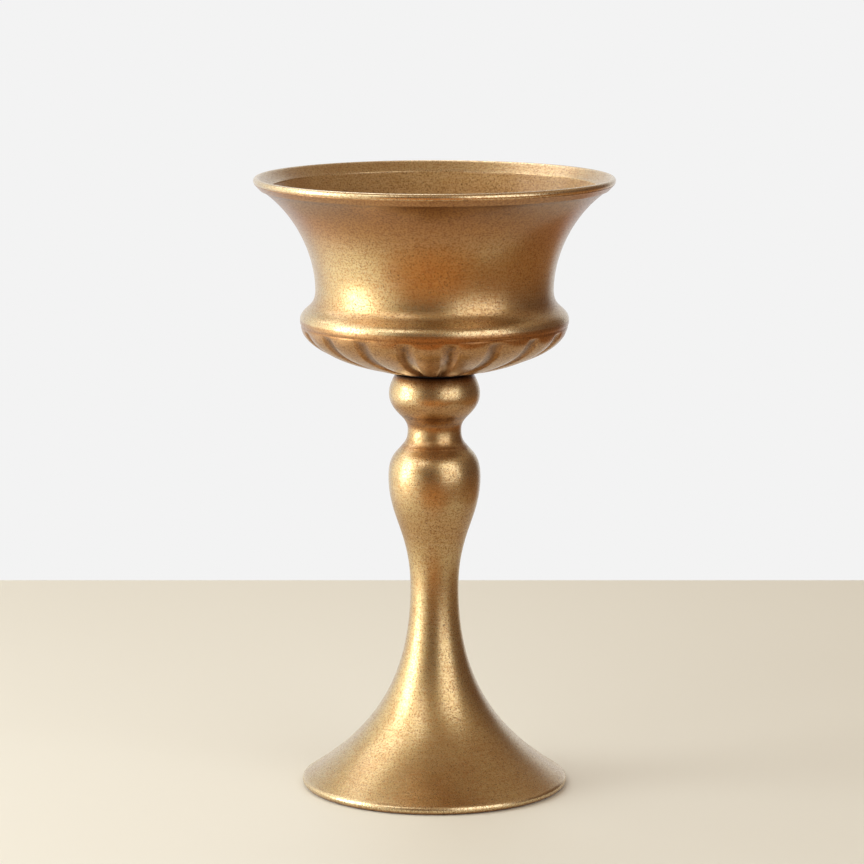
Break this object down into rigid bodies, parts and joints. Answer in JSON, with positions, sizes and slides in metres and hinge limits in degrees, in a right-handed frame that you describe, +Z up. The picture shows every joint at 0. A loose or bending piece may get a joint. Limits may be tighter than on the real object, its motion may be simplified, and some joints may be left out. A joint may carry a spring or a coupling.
{
  "type": "compote dish",
  "caption": "Footed compote dish: flared spun bowl with a rolled rim and grooved underside on a turned knop, neck, baluster and trumpet foot held by a tie rod.",
  "frame": {"origin": "centre of the circle on which the foot stands, at the plane of the surface it stands on", "axes": "+Z up along the axis of revolution; the picture looks along +Y from slightly above"},
  "size_m": [0.178, 0.178, 0.3055],
  "materials": {
    "brass": "antique lacquered, finely brushed round the axis",
    "raw_brass": "turned, satin",
    "steel": "zinc plated",
    "gasket": "matt"
  },
  "bodies": {
    "root": {"trumpet_foot": "brass", "baluster": "brass", "neck": "brass", "knop": "brass", "seat_washer": "gasket", "bowl": "brass", "bowl_gasket": "gasket", "bowl_washer": "raw_brass", "bowl_nut": "raw_brass", "tie_rod": "steel", "foot_washer": "steel", "lock_washer": "steel", "foot_nut": "steel"}
  },
  "joints": []
}
